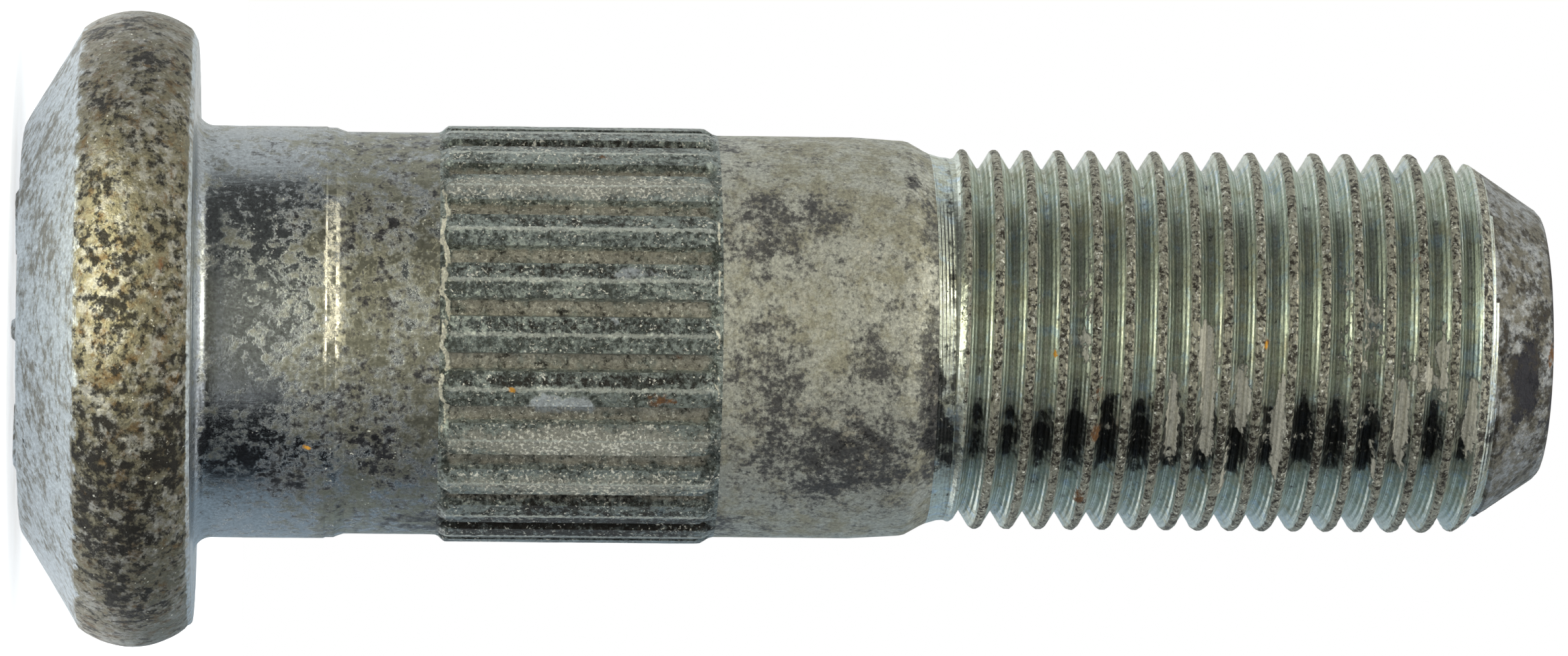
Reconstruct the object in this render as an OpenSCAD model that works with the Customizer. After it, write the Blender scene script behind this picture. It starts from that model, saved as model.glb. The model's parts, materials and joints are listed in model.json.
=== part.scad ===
/* [Head] */
// Diameter of the head at the widest point of its barrel-shaped rim
head_d = 31.3; // [28:0.1:36]
// Height of the head from its back face to the seat under it
head_h = 8.45; // [6.5:0.05:12]
// Diameter of the flat back face
back_d = 19.9; // [14:0.1:24]
// Height of the cone that joins the back face to the rim
cone_h = 2.9; // [1.5:0.1:4.5]
// How far the rim bulges past its two edges
rim_bow = 0.88; // [0.3:0.02:1.6]
// Height of the broken edge between the rim and the seat
seat_edge_h = 0.36; // [0.1:0.02:0.8]
// Width of the broken edge between the rim and the seat
seat_edge_w = 0.6; // [0.1:0.05:1.2]
// Radius of the fillet where the shank meets the seat
fillet_r = 0.85; // [0.3:0.05:1.5]

/* [Marks on the back face] */
// Number of raised bars
mark_count = 6; // [3:1:8]
// Height that the bars stand proud, and stand on
mark_h = 0.32; // [0.2:0.02:0.6]
// Width of a bar
mark_w = 1.3; // [0.8:0.1:2]
// Length of a bar between its rounded ends' centres
mark_len = 2.6; // [1:0.1:3.5]
// Distance from the axis to a bar's middle
mark_r = 5.9; // [4.5:0.1:6.5]

/* [Shank] */
// Diameter of the pilot land under the head
pilot_d = 20.26; // [19.9:0.02:20.8]
// Length of the pilot land from the seat
pilot_len = 6.75; // [4:0.05:10]
// Height of the step from the pilot land down to the relief
step_h = 0.6; // [0.2:0.05:1]
// Diameter of the relief before the serrations
relief_d = 19.78; // [19.5:0.02:19.9]
// Length of the relief before the serrations
relief_len = 4.5; // [2:0.05:7]
// Diameter of the plain shank after the serrations
shank_d = 19.81; // [19.6:0.01:20.1]
// Length of the plain shank after the serrations
shank_len = 6.7; // [3:0.1:10]
// Diameter at the thin end of the shank's taper
taper_d = 19.5; // [19:0.02:19.6]
// Length of the shank's taper
taper_len = 2.66; // [1:0.02:4]
// Height of the shoulder that drops to the neck
shoulder_h = 1.1; // [0.5:0.05:2]
// Diameter where the shoulder meets the neck
neck_d = 18.3; // [18:0.02:18.8]
// Length of the neck between the shoulder and the thread
neck_len = 0.9; // [0.4:0.05:2]
// Length of the stud from the seat to its end
stud_len = 66.6; // [58:0.1:90]

/* [Serrations] */
// Number of teeth that press into the flange's hole
tooth_count = 24; // [16:1:36]
// How far the teeth stand out of the plain shank
tooth_rise = 0.34; // [0.2:0.02:0.5]
// How far the valleys between the teeth lie below the plain shank
valley_dip = 0.2; // [0.05:0.01:0.4]
// Width of a valley's floor
valley_w = 0.7; // [0.3:0.02:1]
// Width of a tooth's steep side, seen square on
flank_w = 0.12; // [0.05:0.01:0.2]
// How far a tooth's roof falls from its ridge to its sides
roof_drop = 0.12; // [0.04:0.01:0.2]
// Length of the serrated band
band_len = 13.65; // [9:0.05:18]
// Length of the teeth's ramp next to the head
ramp_in = 1; // [0.5:0.05:3]
// Length of the teeth's ramp next to the thread
ramp_out = 1.4; // [0.5:0.05:3]

/* [Thread] */
// Diameter over the crests
thread_d = 18.74; // [18.6:0.01:19.05]
// Distance from one crest to the next
pitch = 1.5875; // [1.2:0.0125:2]
// Depth from the crests to the roots
thread_depth = 0.9; // [0.6:0.01:1]
// Diameter of the blank that the thread is rolled into
blank_d = 17.9; // [17.6:0.01:18.2]
// Width of the worn crest
crest_w = 0.42; // [0.1:0.01:0.5]
// Width of the root
root_w = 0.14; // [0.05:0.01:0.25]
// Direction of the helix, left-hand or right-hand
hand = -1; // [-1:left, 1:right]
// Angle at which a crest leaves the neck
thread_turn = 358; // [0:1:359]

/* [Point] */
// Diameter of the point where its cone meets the domed end
point_d = 13.2; // [11:0.1:15]
// Angle between the point's cone and the axis
point_angle = 33.5; // [25:0.5:45]
// Radius of the domed end
dome_r = 60; // [18:1:120]

/* [Hidden] */
$fn = 96;

back_z = mark_h;
seat_z = back_z + head_h;
head_r = head_d / 2;
rim_edge_r = head_r - rim_bow;
rim_h = head_h - cone_h - seat_edge_h;
rim_r = (pow(rim_h / 2, 2) + pow(rim_bow, 2)) / (2 * rim_bow);
mark_dip = 0.5;
fillet_dip = 1;

relief_z = seat_z + pilot_len + step_h;
band_z = relief_z + relief_len;
shank_z = band_z + band_len;
taper_z = shank_z + shank_len;
shoulder_z = taper_z + taper_len;
neck_z = shoulder_z + shoulder_h;
thread_z = neck_z + neck_len;
end_z = seat_z + stud_len;

tooth_pitch = 360 / tooth_count;
tooth_r = shank_d / 2 + tooth_rise;
valley_r = shank_d / 2 - valley_dip;
valley_half = asin(valley_w / 2 / valley_r);
flank_turn = asin(flank_w / valley_r);

point_r = point_d / 2;
point_z = end_z - dome_r + sqrt(pow(dome_r, 2) - pow(point_r, 2));
function cone_r(z) = point_r + (point_z - z) * tan(point_angle);

thread_steps = 48;
weld = 0.03;
weld_len = 0.3;
blank_r = blank_d / 2;
crest_rise = thread_d / 2 - blank_r;
root_fall = thread_depth - crest_rise;
root_r = blank_r - root_fall;
// The cone has cut through the roots here, so the rest of the point is plain
plain_z = point_z - (root_r - point_r) / tan(point_angle) + weld_len;

// One pitch of the rolled form: both edges of a crest, then both edges of a root
crest_edge = crest_w / 2;
root_edge = (pitch - root_w) / 2;
edges = [-crest_edge, crest_edge, root_edge, root_edge + root_w];
turns = ceil((plain_z - thread_z) / pitch) + 2;
rows = 4 * turns;

// Height of a row of points at a step round the axis, kept inside the threaded stretch
function row_z(row, step) =
    let (lead = floor(row / 4) - 1 + hand * (step / thread_steps - thread_turn / 360))
    min(plain_z, max(thread_z, thread_z + pitch * lead + edges[row % 4]));

// The form grows out of the neck over the first pitch
function grown(z) = min(1, (z - thread_z) / pitch);

// Height of the rolled form over the blank, at a number of pitches from a crest
function wave(lead) =
    let (side = pitch * abs(lead - round(lead)))
    side < crest_edge ? crest_rise
    : side > root_edge ? -root_fall
    : crest_rise - thread_depth * (side - crest_edge) / (root_edge - crest_edge);

function thread_r(z, step) =
    let (lead = (z - thread_z) / pitch - hand * (step / thread_steps - thread_turn / 360))
    min(blank_r + grown(z) * wave(lead), cone_r(z)) - weld;

function on_thread(row, step) =
    let (z = row_z(row, step), r = thread_r(z, step), a = 360 * step / thread_steps)
    [r * cos(a), r * sin(a), z];

// Head, pilot land and relief, as one turned outline with a true arc on the rim and in the fillet
module head_outline() {
    polygon([
        [0, back_z],
        [back_d / 2, back_z],
        [rim_edge_r, back_z + cone_h],
        [rim_edge_r, seat_z - seat_edge_h],
        [rim_edge_r - seat_edge_w, seat_z],
        [pilot_d / 2, seat_z],
        [pilot_d / 2, seat_z + pilot_len],
        [relief_d / 2, relief_z],
        [relief_d / 2, band_z],
        [0, band_z]
    ]);
    intersection() {
        translate([head_r - rim_r, back_z + cone_h + rim_h / 2]) circle(rim_r);
        translate([rim_edge_r - rim_bow, back_z + cone_h]) square([3 * rim_bow, rim_h]);
    }
    translate([pilot_d / 2, seat_z]) difference() {
        translate([-fillet_dip, -fillet_dip]) square(fillet_r + fillet_dip);
        translate([fillet_r, fillet_r]) circle(fillet_r);
    }
}

module head_and_pilot() rotate_extrude() head_outline();

module grade_marks() {
    for (i = [0 : mark_count - 1])
        rotate(i * 360 / mark_count - 90) translate([mark_r, 0, 0])
            linear_extrude(mark_h + mark_dip) {
                square([mark_len, mark_w], center = true);
                for (side = [-1, 1]) translate([side * mark_len / 2, 0]) circle(mark_w / 2);
            }
}

// Each tooth has steep sides and a shallow roof that meets in a ridge
module tooth_ring() {
    half = tooth_pitch / 2 - valley_half;
    roof_r = tooth_r - roof_drop;
    polygon([
        for (i = [0 : tooth_count - 1])
            for (p = [
                [-half, valley_r],
                [-half + flank_turn, roof_r],
                [0, tooth_r],
                [half - flank_turn, roof_r],
                [half, valley_r]
            ])
                p[1] * [cos(i * tooth_pitch + p[0] - 90), sin(i * tooth_pitch + p[0] - 90)]
    ]);
}

// Both ramps run on a little under the surface of the land next to them
module serrated_band() {
    intersection() {
        translate([0, 0, band_z - weld_len]) linear_extrude(band_len + 2 * weld_len) tooth_ring();
        rotate_extrude() polygon([
            [0, band_z - weld_len],
            [relief_d / 2 - weld, band_z - weld_len],
            [tooth_r, band_z + ramp_in],
            [tooth_r, shank_z - ramp_out],
            [shank_d / 2 - weld, shank_z + weld_len],
            [0, shank_z + weld_len]
        ]);
    }
}

module plain_shank() {
    rotate_extrude() polygon([
        [0, shank_z],
        [shank_d / 2, shank_z],
        [shank_d / 2, taper_z],
        [taper_d / 2, shoulder_z],
        [neck_d / 2, neck_z],
        [blank_r, thread_z],
        [blank_r, thread_z + weld_len],
        [0, thread_z + weld_len]
    ]);
}

// The rows of points follow the helix, and those past either end lie on its last ring
module rolled_thread() {
    last = thread_steps - 1;
    shift = -4 * hand;
    function at(row, step) =
        step <= last ? row * thread_steps + step
        : min(rows, max(0, row - shift)) * thread_steps;
    points = [for (row = [0 : rows], step = [0 : last]) on_thread(row, step)];
    low = len(points);
    high = low + 1;
    faces = [
        for (step = [0 : last]) each [
            [low, at(0, step), at(0, step + 1)],
            [high, at(rows, step + 1), at(rows, step)]
        ],
        for (row = [0 : rows - 1], step = [0 : last])
            let (
                a = at(row, step),
                b = at(row, step + 1),
                c = at(row + 1, step + 1),
                d = at(row + 1, step),
                open_left = points[a] != points[d],
                open_right = points[b] != points[c]
            )
            each [if (open_right) [a, c, b], if (open_left) [a, d, c]]
    ];
    polyhedron(concat(points, [[0, 0, thread_z], [0, 0, plain_z]]), faces, convexity = 10);
}

module point() {
    rotate_extrude() intersection() {
        polygon([
            [0, plain_z - weld_len],
            [cone_r(plain_z - weld_len), plain_z - weld_len],
            [point_r, point_z],
            [point_r, end_z],
            [0, end_z]
        ]);
        translate([0, end_z - dome_r]) circle(dome_r);
    }
}

module wheel_stud() {
    color("silver") {
        head_and_pilot();
        grade_marks();
        serrated_band();
        plain_shank();
        rolled_thread();
        point();
    }
}

wheel_stud();
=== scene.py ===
import json
import math

import bmesh
import bpy
from mathutils import Matrix, Vector, noise


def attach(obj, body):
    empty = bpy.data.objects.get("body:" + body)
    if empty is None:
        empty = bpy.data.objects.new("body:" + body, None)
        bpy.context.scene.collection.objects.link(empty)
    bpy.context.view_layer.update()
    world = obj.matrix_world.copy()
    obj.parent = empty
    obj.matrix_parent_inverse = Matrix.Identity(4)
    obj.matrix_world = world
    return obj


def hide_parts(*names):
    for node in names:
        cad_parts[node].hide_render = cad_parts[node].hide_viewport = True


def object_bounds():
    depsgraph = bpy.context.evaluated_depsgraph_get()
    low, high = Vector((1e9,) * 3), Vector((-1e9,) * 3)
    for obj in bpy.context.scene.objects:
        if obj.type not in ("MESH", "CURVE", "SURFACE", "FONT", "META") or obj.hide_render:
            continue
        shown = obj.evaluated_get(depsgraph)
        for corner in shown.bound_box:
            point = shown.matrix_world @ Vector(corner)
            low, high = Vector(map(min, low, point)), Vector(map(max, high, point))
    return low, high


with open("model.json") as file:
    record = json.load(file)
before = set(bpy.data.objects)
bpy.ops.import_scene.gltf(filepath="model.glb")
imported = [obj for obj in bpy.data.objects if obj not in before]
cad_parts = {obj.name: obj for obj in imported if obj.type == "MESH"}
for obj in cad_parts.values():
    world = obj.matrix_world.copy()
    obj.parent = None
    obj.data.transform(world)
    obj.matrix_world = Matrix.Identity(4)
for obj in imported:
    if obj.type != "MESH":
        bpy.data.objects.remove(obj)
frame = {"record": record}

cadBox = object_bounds()
mm = 0.001
mounts = {m["name"]: m for m in frame["record"]["mounts"]}
seatZ = mounts["head_seat"]["pos_m"][2] / mm
shankR = mounts["plain_shank"]["dims"]["r_mm"]
toothR = mounts["serrations"]["dims"]["r_mm"]
bandLen = mounts["serrations"]["dims"]["length_mm"]
bandZ = mounts["serrations"]["pos_m"][2] / mm - bandLen / 2
crestR = mounts["thread"]["dims"]["r_mm"]
headR = cadBox[1][0] / mm
endZ = cadBox[1][2] / mm


# camera: the stud stands on its head, so the camera lies on its side to show it level

view = {
    "photoWidth": 2330,
    "pixelsPerMm": 30.09,  # at the middle of the picture
    "distance": 390.0,
    "lean": 3.2,  # degrees that the threaded end leans away
    "roll": 0.6,  # degrees that the threaded end hangs lower in the picture
    "aimX": -0.45,
    "aimZ": 37.73,
    "sensor": 36.0,
    "clip": (0.01, 20.0),  # metres
}


def makeCamera(opts):
    data = bpy.data.cameras.new("photoCamera")
    data.sensor_width = opts["sensor"]
    data.lens = opts["pixelsPerMm"] * opts["distance"] / opts["photoWidth"] * opts["sensor"]
    data.clip_start, data.clip_end = opts["clip"]
    lean = math.radians(opts["lean"])
    roll = math.radians(opts["roll"])
    forward = Vector((0, math.cos(lean), math.sin(lean)))
    along = Vector((0, -math.sin(lean), math.cos(lean)))
    down = Vector((1, 0, 0))
    right = math.cos(roll) * along - math.sin(roll) * down
    up = -(math.sin(roll) * along + math.cos(roll) * down)
    place = Vector((opts["aimX"], 0, opts["aimZ"])) * mm - forward * opts["distance"] * mm
    cam = bpy.data.objects.new("photoCamera", data)
    turn = Matrix((right, up, -forward)).transposed().to_4x4()
    cam.matrix_world = Matrix.Translation(place) @ turn
    bpy.context.collection.objects.link(cam)
    bpy.context.scene.camera = cam


makeCamera(view)
print("camera set")


# node helpers, shared by the studio and the finishes

def linkNodes(tree, *pairs):
    for source, target in pairs:
        tree.links.new(source, target)


def feed(tree, socket, value):
    # a socket takes what another node gives, a colour or a number
    if isinstance(value, bpy.types.NodeSocket):
        tree.links.new(value, socket)
    elif isinstance(value, tuple):
        socket.default_value = (*value, 1)
    else:
        socket.default_value = value


def mathNode(tree, operation, *values):
    node = tree.nodes.new("ShaderNodeMath")
    node.operation = operation
    for socket, value in zip(node.inputs, values):
        feed(tree, socket, value)
    return node.outputs[0]


def pieceFrom(bm, name):
    mesh = bpy.data.meshes.new(name)
    bm.to_mesh(mesh)
    bm.free()
    piece = bpy.data.objects.new(name, mesh)
    bpy.context.collection.objects.link(piece)
    return piece


# studio: pale floor, white surroundings, a warm lamp, and cards that only the gloss shows

cardBlack = (0.012, 0.012, 0.014)

studio = {
    "worldColor": (0.93, 0.97, 1.0),
    "worldLevel": 0.85,
    "floorRadius": 900.0,
    "floorSides": 96,
    "floorColor": (0.82, 0.82, 0.82),
    "floorGlow": 0.6,
    "cardSteps": 16,
    "lamp": {"azimuth": -14.0, "distance": 330.0, "height": 430.0, "width": 160.0, "length": 160.0,
             "watts": 0.6, "color": (1.0, 0.93, 0.76)},
}

# azimuth 0 is the camera's side, and angles grow towards +X
# an outline is a list of distances from the axis and heights
cards = {
    "blackLow": {"from": 28.0, "to": 92.0, "color": cardBlack,
                 "outline": [(160, 0.5), (520, 0.5), (520, 300)]},
    "blackHigh": {"from": 48.0, "to": 116.0, "color": cardBlack,
                  "outline": [(520, 300), (520, 620), (400, 760)]},
    "blackFloor": {"from": 38.0, "to": 112.0, "color": cardBlack,
                   "outline": [(30, 0.5), (160, 0.5)]},
    "blueCard": {"from": 92.0, "to": 178.0, "color": (0.35, 0.43, 0.49),
                 "outline": [(120, 0.4), (540, 0.4), (540, 620)]},
    "paleCard": {"from": -178.0, "to": -96.0, "color": (0.72, 0.74, 0.72),
                 "outline": [(120, 0.4), (540, 0.4), (540, 620)]},
    "warmCard": {"from": -30.0, "to": 28.0, "color": (0.20, 0.19, 0.145),
                 "outline": [(80, 0.5), (520, 0.5), (520, 360)]},
    "greyCard": {"from": -96.0, "to": -30.0, "color": (0.085, 0.085, 0.08),
                 "outline": [(30, 0.5), (520, 0.5), (520, 360)]},
    "lowLight": {"from": -34.0, "to": 8.0, "color": (6.5, 6.1, 4.4),
                 "outline": [(17, 0.6), (40, 0.6)]},
    "highLight": {"from": -84.0, "to": 18.0, "color": (2.4, 2.25, 1.75),
                  "outline": [(450, 400), (330, 600)]},
}


def seenRays(tree):
    # 1 for the camera and for what metal or glass shows, so that all of them see the same background
    rays = tree.nodes.new("ShaderNodeLightPath")
    seen = mathNode(tree, "MAXIMUM", rays.outputs["Is Camera Ray"], rays.outputs["Is Glossy Ray"])
    return mathNode(tree, "MAXIMUM", seen, rays.outputs["Is Transmission Ray"])


def makeWorld(opts):
    world = bpy.data.worlds.new("studioWorld")
    bpy.context.scene.world = world
    world.use_nodes = True
    tree = world.node_tree
    tree.nodes.clear()
    out = tree.nodes.new("ShaderNodeOutputWorld")
    fill = tree.nodes.new("ShaderNodeBackground")
    fill.inputs["Color"].default_value = (*opts["worldColor"], 1)
    fill.inputs["Strength"].default_value = opts["worldLevel"]
    white = tree.nodes.new("ShaderNodeBackground")
    white.inputs["Color"].default_value = (1, 1, 1, 1)
    white.inputs["Strength"].default_value = 1.0
    mix = tree.nodes.new("ShaderNodeMixShader")
    linkNodes(
        tree,
        (seenRays(tree), mix.inputs["Fac"]),
        (fill.outputs[0], mix.inputs[1]),
        (white.outputs[0], mix.inputs[2]),
        (mix.outputs[0], out.inputs["Surface"]),
    )


def emptyMaterial(name):
    mat = bpy.data.materials.new(name)
    mat.use_nodes = True
    mat.node_tree.nodes.clear()
    return mat


def makeFloor(opts):
    bm = bmesh.new()
    bmesh.ops.create_circle(bm, cap_ends=True, segments=opts["floorSides"], radius=opts["floorRadius"] * mm)
    floor = pieceFrom(bm, "studioFloor")
    mat = emptyMaterial("paleFloor")
    tree = mat.node_tree
    out = tree.nodes.new("ShaderNodeOutputMaterial")
    diffuse = tree.nodes.new("ShaderNodeBsdfDiffuse")
    diffuse.inputs["Color"].default_value = (*opts["floorColor"], 1)
    glow = tree.nodes.new("ShaderNodeEmission")
    glow.inputs["Color"].default_value = (1, 1, 1, 1)
    both = tree.nodes.new("ShaderNodeAddShader")
    linkNodes(
        tree,
        (mathNode(tree, "MULTIPLY", seenRays(tree), opts["floorGlow"]), glow.inputs["Strength"]),
        (diffuse.outputs[0], both.inputs[0]),
        (glow.outputs[0], both.inputs[1]),
        (both.outputs[0], out.inputs["Surface"]),
    )
    floor.data.materials.append(mat)


def makeCard(name, opts):
    # the outline is set up at the card's first azimuth and spun round the axis
    bm = bmesh.new()
    first = math.radians(opts["from"] - 90)
    verts = [bm.verts.new((r * mm * math.cos(first), r * mm * math.sin(first), z * mm))
             for r, z in opts["outline"]]
    edges = [bm.edges.new(pair) for pair in zip(verts, verts[1:])]
    bmesh.ops.spin(bm, geom=verts + edges, cent=(0, 0, 0), axis=(0, 0, 1), dvec=(0, 0, 0),
                   angle=math.radians(opts["to"] - opts["from"]), steps=studio["cardSteps"],
                   use_merge=False, use_duplicate=False)
    card = pieceFrom(bm, name)
    mat = emptyMaterial(name)
    tree = mat.node_tree
    out = tree.nodes.new("ShaderNodeOutputMaterial")
    glow = tree.nodes.new("ShaderNodeEmission")
    glow.inputs["Color"].default_value = (*opts["color"], 1)
    linkNodes(tree, (glow.outputs[0], out.inputs["Surface"]))
    card.data.materials.append(mat)
    card.visible_camera = False
    card.visible_diffuse = False
    card.visible_shadow = False


def makeLamp(opts):
    data = bpy.data.lights.new("warmLamp", "AREA")
    data.shape = "RECTANGLE"
    data.size = opts["width"] * mm
    data.size_y = opts["length"] * mm
    data.energy = opts["watts"]
    data.color = opts["color"]
    lamp = bpy.data.objects.new("warmLamp", data)
    turn = math.radians(opts["azimuth"] - 90)
    side = Vector((math.cos(turn), math.sin(turn), 0)) * opts["distance"]
    place = (side + Vector((0, 0, opts["height"]))) * mm
    aim = Vector((0, 0, endZ / 2 * mm)) - place
    lamp.matrix_world = Matrix.Translation(place) @ aim.to_track_quat("-Z", "Y").to_matrix().to_4x4()
    lamp.visible_camera = False
    bpy.context.collection.objects.link(lamp)


makeWorld(studio)
makeFloor(studio)
for cardName, cardOpts in cards.items():
    makeCard(cardName, cardOpts)
makeLamp(studio["lamp"])
bpy.context.scene.view_settings.view_transform = "Standard"
print("studio set")


# the stud: sizes in millimetres, with z measured from the floor
# a pair that rounds an edge off is a change of radius and of height from that edge

stud = {
    "columns": 216,
    "rowStep": 0.42,
    "sharpFrom": 15.0,  # degrees between two faces from which their edge is sharp
    "backRings": [0.0, 3.2, 8.0],
    "backR": 9.95,
    "backFlat": 0.225,
    "backRound": 0.9,
    "backPoints": 4,
    "marks": 6,
    "markHeight": 0.32,
    "markWidth": 1.3,
    "markLength": 2.6,
    "markR": 5.9,
    "markSlope": 0.3,
    "coneH": 2.9,
    "coneEnd": (-0.35, -0.2),
    "rimBow": 0.88,
    "rimPoints": 15,
    "seatEdgeH": 0.36,
    "seatEdgeW": 0.6,
    "seatRound": 0.42,
    "seatTurn": 50.0,
    "seatPoints": 3,
    "fillet": 0.85,
    "filletPoints": 9,
    "headShift": 0.1,  # the forged head sits a little off the axis
    "shiftR": (9.0, 11.0),
    "shiftH": 0.3,
    "pilotR": 10.13,
    "pilotLen": 6.75,
    "pilotSteps": [(0.0, -0.40), (-0.045, -0.31), (-0.055, 0.10), (-0.12, 0.23)],
    "stepH": 0.6,
    "reliefR": 9.89,
    "bandGap": 0.3,
    "taperR": 9.75,
    "shankLen": 6.7,
    "taperLen": 2.66,
    "shoulderTop": [(0.0, -0.15), (-0.06, 0.1)],
    "shoulderH": 1.1,
    "neckR": 9.15,
    "neckFrom": [(0.12, -0.25), (0.0, 0.0)],
    "neckLen": 0.9,
    "neckEnd": (0.02, -0.3),
}

thread = {
    "pitch": 1.5875,
    "depth": 0.93,
    "blankR": 8.95,
    "crestHalf": 0.115,  # in pitches, as the next four
    "crestRound": (-0.05, 0.02),
    "crestFade": 0.07,
    "rootHalf": 0.04,
    "rootFade": (0.36, 0.47),
    "crestFall": 0.06,
    "hand": -1,
    "turn": 358.0,  # degrees, where a crest leaves the neck
    "growth": 0.7,  # height over which it grows out of the neck
    "runOn": 0.35,  # how far it runs on after the point's cone has cut through its roots
    "spareTurns": 3,
    "bridge": 0.06,  # the gap on both sides of it, which is bridged
    "pointR": 6.6,
    "pointAngle": 33.5,
    "pointRound": [(0.12, -0.2), (-0.12, 0.02)],
    "domeR": 60.0,
    "domeFrom": 0.4,
    "domePoints": 9,
    "rowsAt": [-0.5, -0.455, -0.36, -0.26, -0.175, -0.125, -0.05,
               0.05, 0.125, 0.175, 0.26, 0.36, 0.455, 0.5],
}

teeth = {
    "count": 24,
    "valleyR": 9.62,
    "roofDrop": 0.12,
    "roofHalf": 4.9,  # degrees, as the next two
    "footHalf": 5.5,
    "ridgeHalf": 0.3,
    "edgeColumns": (3, 4),  # columns from a ridge to the roof's edge and to the foot
    "blend": 0.6,
    "rampIn": 0.5,
    "rampOut": 0.7,
    "dipFrom": 0.15,
    "corner": 0.9,  # degrees that a tooth narrows by at its ends
    "cornerIn": (0.1, 0.7),
    "cornerOut": (0.1, 0.9),
    "footShare": 0.8,  # the part of it that a tooth's foot narrows by
    "ringsIn": [0, 0.15, 0.3, 0.45, 0.6, 0.75, 0.9, 1.1, 1.4, 1.8],
    "ringsOut": [2.2, 1.8, 1.5, 1.25, 1.0, 0.8, 0.6, 0.4, 0.2, 0],
}

burrHighlight = {  # the bare burr line along the teeth's ends, with a painted highlight that fades away from the camera's side
    "from": 0.14,
    "bow": 0.24,
    "half": 0.28,
    "wave": {"height": 0.2, "size": 3.0, "seed": 5},
    "outFrom": 0.24,
    "outShare": 0.8,
    "middle": -98.0,  # degrees, as the next one
    "fade": (28.0, 48.0),
}

weld = 1e-4
onLevel = 1e-3
neckZ = bandZ + bandLen + stud["shankLen"] + stud["taperLen"] + stud["shoulderH"]
threadZ = neckZ + stud["neckLen"]
pointZ = endZ - thread["domeR"] + math.sqrt(thread["domeR"] ** 2 - thread["pointR"] ** 2)
pointSlope = math.tan(math.radians(thread["pointAngle"]))
threadEnd = pointZ - (crestR - thread["depth"] - thread["pointR"]) / pointSlope + thread["runOn"]


def softStep(x, low, high):
    t = min(1.0, max(0.0, (x - low) / (high - low)))
    return t * t * (3 - 2 * t)


seedWay = (1.0, 1.7, -0.6)


def lump(x, y, z, size, seed):
    # a number of about -1 to 1 that changes smoothly from place to place
    return noise.noise(Vector((x, y, z)) / size + Vector([seed * part for part in seedWay]))


def arcPoints(r, z, radius, start, end, count):
    turns = [math.radians(start + (end - start) * i / (count - 1)) for i in range(count)]
    return [(r + radius * math.cos(a), z + radius * math.sin(a)) for a in turns]


def nearPoints(r, z, *offsets):
    return [(r + out, z + up) for out, up in offsets]


def headProfile(o):
    # from the middle of the back face round the rim to the thread's start, as (r, z)
    back = o["markHeight"]
    edgeR = headR - o["rimBow"]
    rimLow = back + o["coneH"]
    rimHigh = seatZ - o["seatEdgeH"]
    half = (rimHigh - rimLow) / 2
    bow = (half ** 2 + o["rimBow"] ** 2) / (2 * o["rimBow"])
    spread = math.degrees(math.asin(half / bow))
    slope = math.degrees(math.atan2(o["coneH"], edgeR - o["backR"]))
    pilotEnd = seatZ + o["pilotLen"]
    shankEnd = bandZ + bandLen + o["shankLen"]
    points = [(r, back) for r in o["backRings"]]
    points += arcPoints(o["backR"] - o["backFlat"], back + o["backRound"], o["backRound"],
                        -90, -90 + slope, o["backPoints"])
    points += nearPoints(edgeR, rimLow, o["coneEnd"])
    points += arcPoints(headR - bow, (rimLow + rimHigh) / 2, bow, -spread, spread, o["rimPoints"])
    points += arcPoints(edgeR - o["seatEdgeW"], seatZ - o["seatRound"], o["seatRound"],
                        o["seatTurn"], 90, o["seatPoints"])
    points += arcPoints(o["pilotR"] + o["fillet"], seatZ + o["fillet"], o["fillet"],
                        270, 180, o["filletPoints"])
    points += nearPoints(o["pilotR"], pilotEnd, *o["pilotSteps"])
    points += [(o["reliefR"], pilotEnd + o["stepH"]), (o["reliefR"], bandZ - o["bandGap"])]
    points += [(shankR, bandZ + ring) for ring in teeth["ringsIn"]]
    points += [(shankR, bandZ + bandLen - ring) for ring in teeth["ringsOut"]]
    points += [(shankR, bandZ + bandLen + o["bandGap"]), (shankR, shankEnd)]
    points += nearPoints(o["taperR"], neckZ - o["shoulderH"], *o["shoulderTop"])
    points += nearPoints(o["neckR"], neckZ, *o["neckFrom"])
    points += nearPoints(thread["blankR"], threadZ, o["neckEnd"], (0, -thread["bridge"]))
    return points


def coneR(z):
    return thread["pointR"] + (pointZ - z) * pointSlope


def pointProfile(o, start):
    # from the thread's end over the cone and the dome to the axis, as (r, z)
    points = [(coneR(start), start)]
    points += nearPoints(o["pointR"], pointZ, *o["pointRound"])
    spread = math.degrees(math.asin((o["pointR"] - o["domeFrom"]) / o["domeR"]))
    points += arcPoints(0, endZ - o["domeR"], o["domeR"], 90 - spread, 90, o["domePoints"])
    return points


def spinWire(bm, points):
    verts = [bm.verts.new((r, 0, z)) for r, z in points]
    edges = [bm.edges.new(pair) for pair in zip(verts, verts[1:])]
    for edge in edges:
        cuts = int(edge.calc_length() / stud["rowStep"])
        if cuts:
            bmesh.ops.subdivide_edges(bm, edges=[edge], cuts=cuts)
    wire = bm.verts[:] + bm.edges[:]
    bmesh.ops.spin(bm, geom=wire, cent=(0, 0, 0), axis=(0, 0, 1), dvec=(0, 0, 0),
                   angle=math.tau, steps=stud["columns"], use_merge=True, use_duplicate=False)
    bmesh.ops.remove_doubles(bm, verts=bm.verts[:], dist=weld)


def fromRidge(turn):
    # degrees from the nearest tooth's ridge
    pitch = 360 / teeth["count"]
    return (turn + 90 + pitch / 2) % pitch - pitch / 2


def bandTurn(turn, z):
    # moves the columns onto the teeth's edges inside the band
    column = 360 / stud["columns"]
    side = fromRidge(turn)
    place = round(abs(side) / column)
    if place not in teeth["edgeColumns"]:
        return turn
    roofColumn = teeth["edgeColumns"][0]
    wanted = teeth["roofHalf"] if place == roofColumn else teeth["footHalf"]
    inside = softStep(z, bandZ - teeth["blend"], bandZ)
    inside *= 1 - softStep(z, bandZ + bandLen, bandZ + bandLen + teeth["blend"])
    shift = inside * (wanted - place * column)
    return turn + (shift if side > 0 else -shift)


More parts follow.
